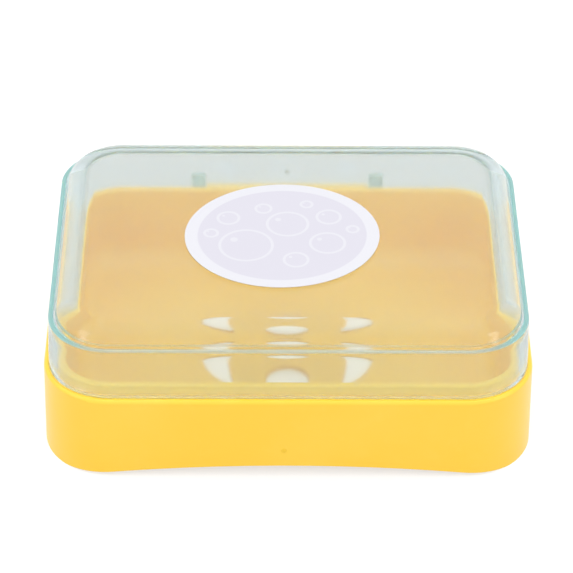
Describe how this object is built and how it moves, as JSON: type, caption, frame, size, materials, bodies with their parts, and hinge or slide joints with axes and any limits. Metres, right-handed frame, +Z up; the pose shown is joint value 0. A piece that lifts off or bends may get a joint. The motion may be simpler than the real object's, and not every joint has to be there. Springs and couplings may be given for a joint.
{
  "type": "travel soap box",
  "caption": "Rounded rectangular soap box: an opaque drained base with an arched foot, and a clear lid with a rounded top that swings back on a pinned rear hinge.",
  "frame": {"origin": "on the surface that the box stands on, under the middle of the closed box with its hinge", "axes": "+X to the right of someone facing the front, +Y to the hinge at the back, +Z up"},
  "size_m": [0.118, 0.0948, 0.0404],
  "materials": {
    "base_plastic": "opaque warm yellow moulded plastic, softly glossy",
    "lid_plastic": "clear moulded plastic with a faint aqua tint and a light haze",
    "pin_plastic": "natural white plastic rod",
    "label_film": "printed film with a white border round a pale lavender field"
  },
  "bodies": {
    "base": {"base": "base_plastic", "hinge_pin": "pin_plastic"},
    "lid": {"lid": "lid_plastic", "lid_label": "label_film"}
  },
  "joints": [
    {"name": "lid_hinge", "type": "hinge", "parent": "base", "child": "lid", "pos_m": [0, 0.045, 0.0195], "axis": [-1, 0, 0], "range_deg": [0, 165]}
  ]
}
